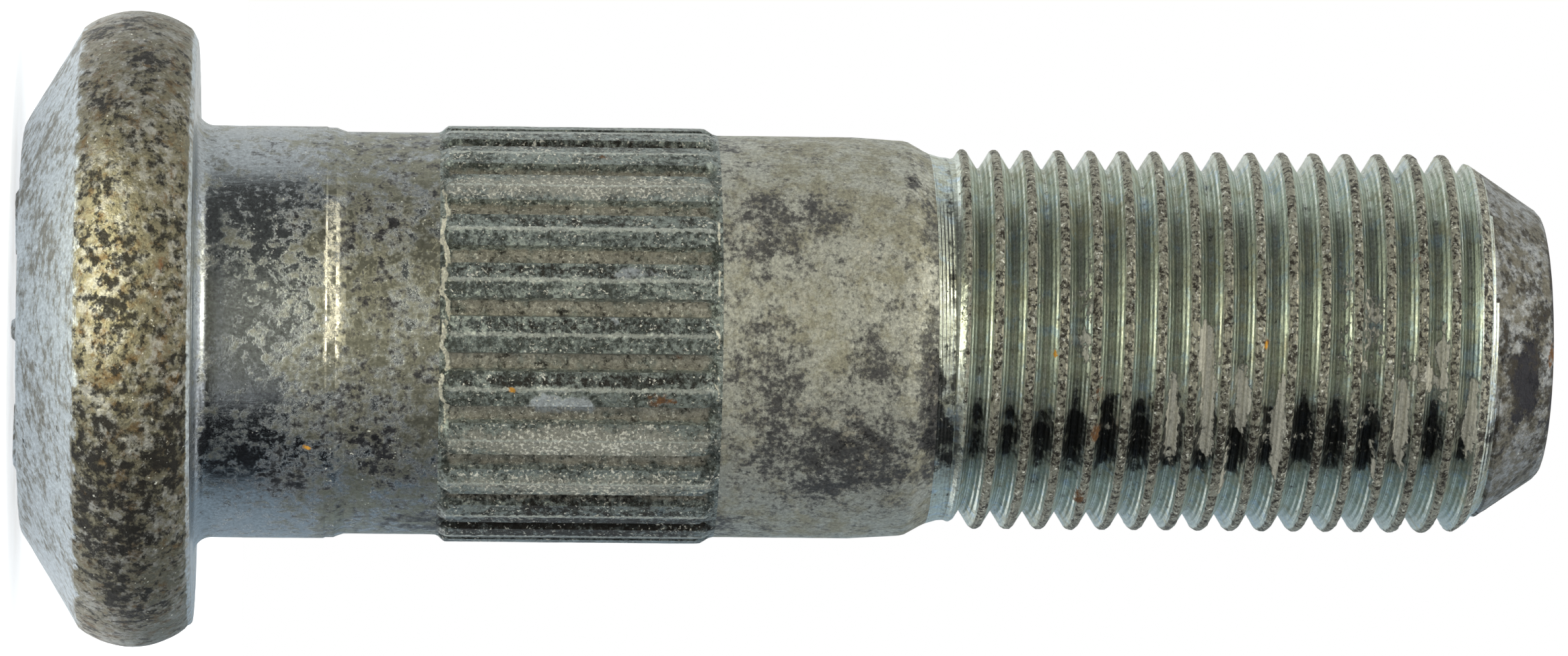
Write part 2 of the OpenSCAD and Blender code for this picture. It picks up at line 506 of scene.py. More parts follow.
def toothForm(turn, z):
    # radius on the serrated band, and how far a point is down a wall, in a valley and on a ridge
    side = abs(fromRidge(turn))
    low, high = z - bandZ, bandZ + bandLen - z
    rise = softStep(low, 0, teeth["rampIn"]) * softStep(high, 0, teeth["rampOut"])
    narrow = teeth["corner"] * (2 - softStep(low, *teeth["cornerIn"]) - softStep(high, *teeth["cornerOut"]))
    dip = softStep(low, teeth["dipFrom"], teeth["dipFrom"] + teeth["rampIn"])
    dip *= softStep(high, teeth["dipFrom"], teeth["dipFrom"] + teeth["rampOut"])
    # the roof is a straight line from the ridge to its edge
    edge = toothR - teeth["roofDrop"]
    turnTo = math.radians(teeth["roofHalf"])
    turnAt = min(turnTo, math.radians(side))
    roof = toothR * edge * math.sin(turnTo) / (toothR * math.sin(turnAt) + edge * math.sin(turnTo - turnAt))
    floor = shankR + (teeth["valleyR"] - shankR) * dip
    wall = softStep(side, teeth["roofHalf"] - narrow, teeth["footHalf"] - narrow * teeth["footShare"])
    top = shankR + (roof - shankR) * rise
    ridge = rise if side < teeth["ridgeHalf"] else 0
    return top + (floor - top) * wall, wall, wall * dip, ridge


def burrHighlightAt(turn, z, wall):
    # how bare a point at the teeth's ends is, as a bare burr line and a painted highlight, only on the side
    # that the camera sees
    low, high = z - bandZ, bandZ + bandLen - z
    wave = burrHighlight["wave"]["height"] * lump(turn, z, 0, burrHighlight["wave"]["size"], burrHighlight["wave"]["seed"])
    inAt = burrHighlight["from"] + burrHighlight["bow"] * wall + wave
    outAt = burrHighlight["outFrom"] + burrHighlight["bow"] * wall + wave
    line = max(0, 1 - abs(low - inAt) / burrHighlight["half"])
    line += max(0, burrHighlight["outShare"] - abs(high - outAt) / burrHighlight["half"]) * (1 - wall)
    return line * (1 - softStep(abs(turn - burrHighlight["middle"]), *burrHighlight["fade"]))


def markForm(x, y):
    # how far up the raised bars a point of the back face is
    best = 0
    for i in range(stud["marks"]):
        a = math.radians(i * 360 / stud["marks"] - 90)
        along = x * math.cos(a) + y * math.sin(a) - stud["markR"]
        across = -x * math.sin(a) + y * math.cos(a)
        reach = math.hypot(max(0, abs(along) - stud["markLength"] / 2), across)
        edge = stud["markWidth"] / 2
        best = max(best, 1 - softStep(reach, edge - stud["markSlope"], edge))
    return best


def threadForm(turn, z):
    # radius on the thread, how much of a point is crest or root, and its distance from a crest in pitches
    place = (z - threadZ) / thread["pitch"] - thread["hand"] * (turn - thread["turn"]) / 360
    side = abs(place - math.floor(place + 0.5))
    grown = softStep(z - threadZ, 0, thread["growth"])
    half = thread["crestHalf"]
    roundIn, roundOut = thread["crestRound"]
    flank = min(1, max(0, (side - half) / (0.5 - thread["rootHalf"] - half)))
    fall = thread["crestFall"] * softStep(side, half + roundIn, half + roundOut)
    height = crestR - thread["blankR"] - thread["depth"] * flank - fall * (1 - flank)
    radius = min(thread["blankR"] + grown * height, coneR(z))
    crest = 1 - softStep(side, half, half + thread["crestFade"])
    return radius, crest * grown, softStep(side, *thread["rootFade"]) * grown, side * grown


def makeThread():
    # one turn is spun along the helix, and its copies are stacked a pitch apart
    pitch = thread["pitch"]
    turns = math.ceil((threadEnd - threadZ) / pitch) + thread["spareTurns"]
    bm = bmesh.new()
    verts = [bm.verts.new((thread["blankR"], 0, row * pitch)) for row in thread["rowsAt"]]
    edges = [bm.edges.new(pair) for pair in zip(verts, verts[1:])]
    bmesh.ops.spin(bm, geom=verts + edges, cent=(0, 0, 0), axis=(0, 0, 1),
                   dvec=(0, 0, thread["hand"] * pitch / stud["columns"]), angle=math.tau,
                   steps=stud["columns"], use_merge=False, use_duplicate=False)
    bmesh.ops.rotate(bm, cent=(0, 0, 0), matrix=Matrix.Rotation(math.radians(thread["turn"]), 3, "Z"),
                     verts=bm.verts[:])
    bmesh.ops.translate(bm, vec=(0, 0, threadZ - pitch), verts=bm.verts[:])
    oneTurn = bm.verts[:] + bm.edges[:] + bm.faces[:]
    for i in range(1, turns):
        copy = bmesh.ops.duplicate(bm, geom=oneTurn)["geom"]
        copied = [part for part in copy if isinstance(part, bmesh.types.BMVert)]
        bmesh.ops.translate(bm, vec=(0, 0, i * pitch), verts=copied)
    bmesh.ops.remove_doubles(bm, verts=bm.verts[:], dist=weld)
    for level, normal in ((threadZ, (0, 0, -1)), (threadEnd, (0, 0, 1))):
        bmesh.ops.bisect_plane(bm, geom=bm.verts[:] + bm.edges[:] + bm.faces[:], dist=weld,
                               plane_co=(0, 0, level), plane_no=normal, clear_outer=True)
    return bm


def joinInto(bm, part):
    mesh = bpy.data.meshes.new("part")
    part.to_mesh(mesh)
    part.free()
    bm.from_mesh(mesh)
    bpy.data.meshes.remove(mesh)


def ringAt(bm, level):
    return [e for e in bm.edges if e.is_boundary and all(abs(v.co.z - level) < onLevel for v in e.verts)]


def joinSurface():
    # one closed surface, and how many of its points are turned ones and not the thread's
    gap = thread["bridge"]
    bm = bmesh.new()
    spinWire(bm, headProfile(stud))
    tip = bmesh.new()
    spinWire(tip, pointProfile(thread, threadEnd + gap))
    joinInto(bm, tip)
    turnedCount = len(bm.verts)
    print("head and point turned:", turnedCount, "points")
    joinInto(bm, makeThread())
    for below, above in ((threadZ - gap, threadZ), (threadEnd, threadEnd + gap)):
        bmesh.ops.bridge_loops(bm, edges=ringAt(bm, below) + ringAt(bm, above))
    print("thread joined in:", len(bm.verts), "points")
    return bm, turnedCount


def setRadius(v, r, turn):
    v.co.x = r * math.cos(math.radians(turn))
    v.co.y = r * math.sin(math.radians(turn))


def shapeTurned(points, layers):
    # teeth, the bars on the back face, and the flank's lines that start on the neck
    for v in points:
        x, y, z = v.co
        r = math.hypot(x, y)
        if r < weld:
            continue
        turn = math.degrees(math.atan2(y, x))
        if bandZ - teeth["blend"] < z < bandZ + bandLen + teeth["blend"]:
            turn = bandTurn(turn, z)
        if bandZ <= z <= bandZ + bandLen:
            r, wall, v[layers["groove"]], v[layers["crest"]] = toothForm(turn, z)
            # painted highlight: the bare burr line at the teeth's ends
            v[layers["bare"]] = burrHighlightAt(turn, z, wall)
        setRadius(v, r, turn)
        if z < stud["markHeight"] + onLevel:
            v.co.z -= stud["markHeight"] * markForm(x, y)
        if z < threadZ:
            v[layers["flank"]] = max(0, z - neckZ) / thread["pitch"]


def shapeThread(points, layers):
    for v in points:
        x, y, z = v.co
        turn = math.degrees(math.atan2(y, x))
        r, v[layers["crest"]], v[layers["groove"]], v[layers["flank"]] = threadForm(turn, z)
        setRadius(v, r, turn)


# wear: lumps and nicks that move the surface, each with its height, its size and its own pattern

wear = {
    "headLump": {"height": 0.05, "size": 3.2, "seed": 7},
    "headGrain": {"height": 0.018, "size": 0.8, "seed": 11},
    "crestNick": {"height": 0.07, "size": 0.55, "seed": 17},
    "toothWear": {"height": 0.02, "size": 0.8, "seed": 23},
    "shankGrain": {"height": 0.008, "size": 0.7, "seed": 3},
    "nickFrom": 0.15,
    "toothStretch": 0.4,
    "ridgeFrom": 0.2,
    "underSeat": 0.2,
    "coreR": 1.0,
    "rimR": (9.0, 14.0),
}


def wearLump(kind, x, y, z):
    return lump(x, y, z, wear[kind]["size"], wear[kind]["seed"])


def wearAt(v, crest):
    x, y, z = v.co
    r = math.hypot(x, y)
    push = wear["shankGrain"]["height"] * wearLump("shankGrain", x, y, z)
    if z < seatZ - wear["underSeat"] and r > wear["coreR"]:
        push += wear["headLump"]["height"] * softStep(r, *wear["rimR"]) * wearLump("headLump", x, y, z)
        push += wear["headGrain"]["height"] * wearLump("headGrain", x, y, z)
    if z > threadZ:
        nick = max(0, wearLump("crestNick", x, y, z) - wear["nickFrom"])
        push -= wear["crestNick"]["height"] * crest * nick
    elif crest > wear["ridgeFrom"]:
        push += wear["toothWear"]["height"] * crest * wearLump("toothWear", x, y, z * wear["toothStretch"])
    return push


def wearSurface(bm, layers):
    bm.normal_update()
    moves = [(v, v.normal * wearAt(v, v[layers["crest"]])) for v in bm.verts]
    for v, move in moves:
        v.co += move
        if v.co.z < seatZ:
            under = softStep(seatZ - v.co.z, 0, stud["shiftH"])
            v.co.x -= stud["headShift"] * under * softStep(v.co.xy.length, *stud["shiftR"])


# what has settled on the surface, and painted shade and highlights: angles are from the camera's side towards
# +X, and the rest in millimetres
# each spot is (angle, height, half its width in degrees, half its length, strength)

paintNames = ["crest", "groove", "flank", "bare", "rim", "stain",
              "grime", "dust", "residue", "rust", "orange"]

spots = {
    "grime": [
        # head
        (-56, 6.2, 8, 0.9, 0.7), (-50, 4.3, 6, 0.7, 0.5), (-37, 6.5, 9, 1.2, 0.3),
        (30, 5.6, 16, 2.6, 0.5), (43, 5.0, 14, 2.0, 0.5), (22, 7.6, 10, 0.9, 0.5), (58, 6.6, 8, 1.5, 0.4),
        # pilot and relief
        (44, 13.2, 9, 1.2, 0.8), (28, 14.8, 12, 1.9, 0.5), (22, 17.6, 14, 1.8, 0.35),
        (38, 18.2, 10, 1.5, 0.6), (-30, 17.2, 10, 1.7, 0.5), (-12, 17.8, 8, 1.0, 0.35),
        # plain shank and shoulder
        (-32, 36.6, 14, 1.9, 0.7), (-38, 39.2, 8, 1.2, 0.6), (8, 41.6, 9, 1.3, 0.7), (10, 36.6, 14, 1.5, 0.6),
        (34, 37.8, 17, 3.2, 0.7), (38, 41.3, 15, 2.0, 0.8), (52, 39.6, 9, 1.9, 0.3),
        (20, 44.4, 24, 0.7, 0.9), (-36, 44.3, 10, 0.6, 0.4),
        # point
        (13, 73.6, 15, 0.75, 1.2), (-10, 74.4, 14, 0.5, 0.5), (2, 72.4, 12, 0.5, 0.4),
        (-20, 75.1, 50, 0.2, 0.8), (48, 74.6, 14, 0.5, 0.4),
        # long stretches of the teeth and the thread; the one along the thread is painted shade from about 18
        # to 46 degrees
        (68, 27.4, 14, 8.0, 1.0), (-74, 27.4, 10, 8.0, 0.4), (32, 59.0, 14, 15.0, 0.85),
        # painted shade on the facet at the lower-angle side of each tooth's ridge
        (-32.5, 27.4, 2.2, 7.2, 0.6), (-17.5, 27.4, 2.2, 7.2, 0.7), (-2.5, 27.4, 2.2, 7.2, 0.7),
        (12.5, 27.4, 2.2, 7.2, 0.8), (-66, 27.4, 4, 7.2, 0.5),
        # shoulder's edge
        (-52, 43.6, 4, 0.4, 1.2), (0, 45.0, 80, 0.7, 0.3),
    ],
    "dust": [
        (-45, 27.4, 5.5, 7.5, 1.0), (31, 27.4, 6, 7.5, 1.1), (46, 27.4, 5.5, 7.5, 0.8),
        (-60, 27.4, 4, 7.5, 0.4),
    ],
    "residue": [
        # teeth
        (19, 26.2, 3.2, 1.6, 1.4), (-17, 30.2, 2.2, 1.2, 0.8), (8, 31.6, 1.4, 0.6, 0.7),
        (21, 27.9, 1.3, 0.5, 0.8), (23, 33.1, 1.3, 0.5, 0.7), (-4, 29.0, 1.2, 0.4, 0.7),
        # thread
        (3, 57.6, 10, 0.45, 1.0), (27, 56.2, 16, 0.3, 1.1), (18, 57.9, 24, 0.3, 0.9),
        (18, 59.6, 11, 0.3, 1.0), (30, 61.4, 18, 0.3, 1.1), (42, 55.4, 14, 0.3, 0.8),
        (48, 58.7, 10, 0.35, 0.9), (24, 67.4, 18, 0.3, 1.1), (10, 68.3, 6, 0.5, 1.0),
        (46, 66.4, 11, 0.35, 0.9), (6, 69.3, 13, 0.3, 0.8), (24, 70.8, 16, 0.3, 1.0),
        (-4, 65.4, 18, 1.5, 0.45), (-8, 52.0, 20, 0.7, 0.45), (27, 61.5, 15, 9.0, 0.25),
    ],
    "rust": [
        (-12, 7.4, 2.0, 0.3, 0.8), (29, 52.5, 4, 0.3, 0.9), (5, 74.9, 8, 0.3, 0.8),
        (-27, 68.0, 2.5, 0.25, 0.7), (7, 32.0, 2.2, 0.5, 0.8), (18, 31.3, 2.4, 0.8, 0.8),
        (1, 60.6, 4, 0.2, 0.8), (-58, 28.6, 2, 0.5, 0.7), (14, 52.6, 7, 0.3, 0.6), (56, 51.9, 5, 0.25, 0.8),
    ],
    "orange": [
        (15.5, 24.2, 1.2, 0.16, 1.3), (33, 14.4, 1.3, 0.14, 1.2), (4, 50.4, 1.2, 0.13, 1.2),
        (1, 60.6, 2.6, 0.14, 0.9),
    ],
}

stain = {
    "wave": {"height": 0.35, "size": 0.8, "seed": 31},
    "rimFrom": (-0.25, 0.15),  # from the cone's end
    "rimTo": (-0.3, -0.1),  # from the seat
    "pilotAt": (11.0, 17.0),
    "pilotLow": 0.1,
    "bareEdges": [(-1.01, -0.90), (-0.51, -0.36)],  # from the relief's start: the pilot's bare step edges, which get a painted highlight
    "bareTurn": -16.0,
    "bareFade": (18.0, 38.0),
    "spotReach": 1.8,
    "spotWave": 1.2,
    "spotFade": (0.35, 1.5),
}


def spotAmount(places, angle, z, wave):
    amount = 0
    for turn, height, width, length, strength in places:
        up = (z - height) / length
        if abs(up) > stain["spotReach"]:
            continue
        side = ((angle - turn + 180) % 360 - 180) / width
        near = math.hypot(side, up)
        if near < stain["spotReach"]:
            amount += strength * (1 - softStep(near + stain["spotWave"] * wave, *stain["spotFade"]))
    return amount


def paintStainsShadeAndHighlights(bm, layers):
    reliefZ = seatZ + stud["pilotLen"] + stud["stepH"]
    rimLow = stud["markHeight"] + stud["coneH"]
    rimStart = [rimLow + edge for edge in stain["rimFrom"]]
    rimStop = [seatZ + edge for edge in stain["rimTo"]]
    for v in bm.verts:
        x, y, z = v.co
        if abs(x) + abs(y) < weld:
            continue
        angle = math.degrees(math.atan2(x, -y))
        wave = stain["wave"]["height"] * lump(x, y, z, stain["wave"]["size"], stain["wave"]["seed"])
        v[layers["rim"]] = softStep(z + wave, *rimStart) * (1 - softStep(z, *rimStop))
        v[layers["stain"]] = stain["pilotLow"] + softStep(z, *stain["pilotAt"])
        # painted highlight on the pilot's bare step edges, fading away from the camera's side
        if any(reliefZ + low < z < reliefZ + high for low, high in stain["bareEdges"]):
            v[layers["bare"]] = 1 - softStep(abs(angle - stain["bareTurn"]), *stain["bareFade"])
        for name, places in spots.items():
            v[layers[name]] = spotAmount(places, angle, z, wave)


regionNames = ["forgedHead", "turnedPilot", "pressedTeeth", "dullShank", "rolledThread", "turnedPoint"]
region = {
    "underSeat": 0.05,
    "rimR": 14.6,
    "beforeThread": 0.95,
    "pointLen": 3.4,
}


def regionOf(place):
    if place.z < seatZ - region["underSeat"] or math.hypot(place.x, place.y) > region["rimR"]:
        return "forgedHead"
    if place.z < bandZ:
        return "turnedPilot"
    if place.z < bandZ + bandLen:
        return "pressedTeeth"
    if place.z < threadZ - region["beforeThread"]:
        return "dullShank"
    return "rolledThread" if place.z < endZ - region["pointLen"] else "turnedPoint"


def makeStud():
    bm, turnedCount = joinSurface()
    layers = {name: bm.verts.layers.float.new(name) for name in paintNames}
    points = bm.verts[:]
    shapeTurned(points[:turnedCount], layers)
    shapeThread(points[turnedCount:], layers)
    wearSurface(bm, layers)
    paintStainsShadeAndHighlights(bm, layers)
    bmesh.ops.remove_doubles(bm, verts=bm.verts[:], dist=2 * onLevel)
    bmesh.ops.recalc_face_normals(bm, faces=bm.faces[:])
    for edge in bm.edges:
        edge.smooth = edge.calc_face_angle(0) < math.radians(stud["sharpFrom"])
    for face in bm.faces:
        face.smooth = True
        face.material_index = regionNames.index(regionOf(face.calc_center_median()))
    bmesh.ops.scale(bm, vec=(mm, mm, mm), verts=bm.verts[:])
    openEdges = sum(1 for e in bm.edges if not e.is_manifold)
    triangles = sum(len(f.verts) - 2 for f in bm.faces)
    print("stud shaped, open edges:", openEdges, "triangles:", triangles)
    return pieceFrom(bm, "wornStud")


# finishes: a plated or scaled base, with layers of patina, pits, dirt, bare metal, painted shade and painted
# highlights over it
# sizes are in millimetres, and a layer covers what its noise, patches and painted layers bring over "low"

shiftWay = (1.0, 0.7, -1.3)  # the way that a noise is shifted, so that no two of them match
patchNoise = {"detail": 2.0, "shift": 0.31}


def noiseAt(tree, place, opts):
    turn = tree.nodes.new("ShaderNodeMapping")
    turn.inputs["Location"].default_value = [opts.get("shift", 0) * part for part in shiftWay]
    turn.inputs["Scale"].default_value = opts.get("stretch", (1, 1, 1))
    pattern = tree.nodes.new("ShaderNodeTexNoise")
    pattern.inputs["Scale"].default_value = 1 / (opts["size"] * mm)
    pattern.inputs["Detail"].default_value = opts.get("detail", 8.0)
    pattern.inputs["Roughness"].default_value = opts.get("grit", 0.6)
    linkNodes(tree, (place, turn.inputs["Vector"]), (turn.outputs["Vector"], pattern.inputs["Vector"]))
    return pattern.outputs["Fac"]


def paintedValue(tree, name):
    painted = tree.nodes.new("ShaderNodeAttribute")
    painted.attribute_name = name
    return painted.outputs["Fac"]


def makeMask(tree, place, opts):
    value = noiseAt(tree, place, opts)
    if "patch" in opts:
        shift = opts.get("shift", 0) + patchNoise["shift"]
        broad = {"size": opts["patch"], "detail": patchNoise["detail"], "shift": shift}
        sway = mathNode(tree, "MULTIPLY_ADD", noiseAt(tree, place, broad), opts["sway"], -opts["sway"] / 2)
        value = mathNode(tree, "ADD", value, sway)
    for name, weight in opts.get("paint", {}).items():
        value = mathNode(tree, "MULTIPLY_ADD", paintedValue(tree, name), weight, value)
    edge = tree.nodes.new("ShaderNodeMapRange")
    edge.interpolation_type = "SMOOTHSTEP"
    edge.inputs["From Min"].default_value = opts["low"]
    edge.inputs["From Max"].default_value = opts["high"]
    edge.inputs["To Max"].default_value = opts.get("cover", 1.0)
    tree.links.new(value, edge.inputs["Value"])
    return edge.outputs["Result"]


mixPlaces = {"FLOAT": (2, 3, 0), "RGBA": (6, 7, 2)}  # a Mix node's two inputs and its result


def mixNode(tree, kind, mask, under, over):
    mix = tree.nodes.new("ShaderNodeMix")
    mix.data_type = kind
    first, second, result = mixPlaces[kind]
    feed(tree, mix.inputs["Factor"], mask)
    feed(tree, mix.inputs[first], under)
    feed(tree, mix.inputs[second], over)
    return mix.outputs[result]


def addLines(tree, place, height, opts):
    # fine ridges that run along with a painted layer, such as those the rolls leave on a thread's flanks
    turns = mathNode(tree, "MULTIPLY", paintedValue(tree, opts["along"]), math.tau * opts["count"])
    wave = mathNode(tree, "SINE", turns)
    depth = mathNode(tree, "MULTIPLY", noiseAt(tree, place, opts), opts["height"])
    return mathNode(tree, "MULTIPLY_ADD", wave, depth, height)


noiseRange = (0.3, 0.7)  # where most of a noise's values lie


def speckle(tree, place, color, opts):
    # the colour is darkened and lightened in fine grains
    tone = tree.nodes.new("ShaderNodeMapRange")
    tone.inputs["From Min"].default_value, tone.inputs["From Max"].default_value = noiseRange
    tone.inputs["To Min"].default_value = opts["dark"]
    tone.inputs["To Max"].default_value = opts["light"]
    toned = tree.nodes.new("ShaderNodeVectorMath")
    toned.operation = "SCALE"
    linkNodes(
        tree,
        (noiseAt(tree, place, opts), tone.inputs["Value"]),
        (color, toned.inputs[0]),
        (tone.outputs["Result"], toned.inputs["Scale"]),
    )
    return toned.outputs["Vector"]


def makeFinish(name, opts):
    mat = bpy.data.materials.new(name)
    mat.use_nodes = True
    tree = mat.node_tree
    shader = tree.nodes["Principled BSDF"]
    place = tree.nodes.new("ShaderNodeTexCoord").outputs["Object"]
    color, metal, rough = opts["color"], opts["metal"], opts["rough"]
    height = mathNode(tree, "MULTIPLY", noiseAt(tree, place, opts["grain"]), opts["grain"]["height"])
    for layer in opts["layers"].values():
        mask = makeMask(tree, place, layer)
        color = mixNode(tree, "RGBA", mask, color, layer["color"])
        metal = mixNode(tree, "FLOAT", mask, metal, layer["metal"])
        rough = mixNode(tree, "FLOAT", mask, rough, layer["rough"])
        if "height" in layer:
            height = mathNode(tree, "MULTIPLY_ADD", mask, layer["height"], height)
    if "lines" in opts:
        height = addLines(tree, place, height, opts["lines"])
    bump = tree.nodes.new("ShaderNodeBump")
    bump.inputs["Distance"].default_value = mm
    linkNodes(
        tree,
        (speckle(tree, place, color, opts["speckle"]), shader.inputs["Base Color"]),
        (metal, shader.inputs["Metallic"]),
        (rough, shader.inputs["Roughness"]),
        (height, bump.inputs["Height"]),
        (bump.outputs["Normal"], shader.inputs["Normal"]),
    )
    return mat


bareSpecks = {
    "size": 0.22, "shift": 0.61, "detail": 3.0, "patch": 2.0, "sway": 0.2, "low": 0.68, "high": 0.74,
    "color": (0.85, 0.84, 0.74), "metal": 0.3, "rough": 0.4, "height": 0.02,
}
rusts = {
    "brownRust": {
        "size": 0.3, "shift": 0.41, "detail": 6.0, "paint": {"rust": 0.5}, "low": 0.72, "high": 0.95,
        "color": (0.17, 0.075, 0.02), "metal": 0.0, "rough": 0.8},
    "orangeRust": {
        "size": 0.3, "shift": 0.47, "detail": 4.0, "paint": {"orange": 0.6}, "low": 0.82, "high": 0.98,
        "color": (0.72, 0.34, 0.03), "metal": 0.0, "rough": 0.8},
}

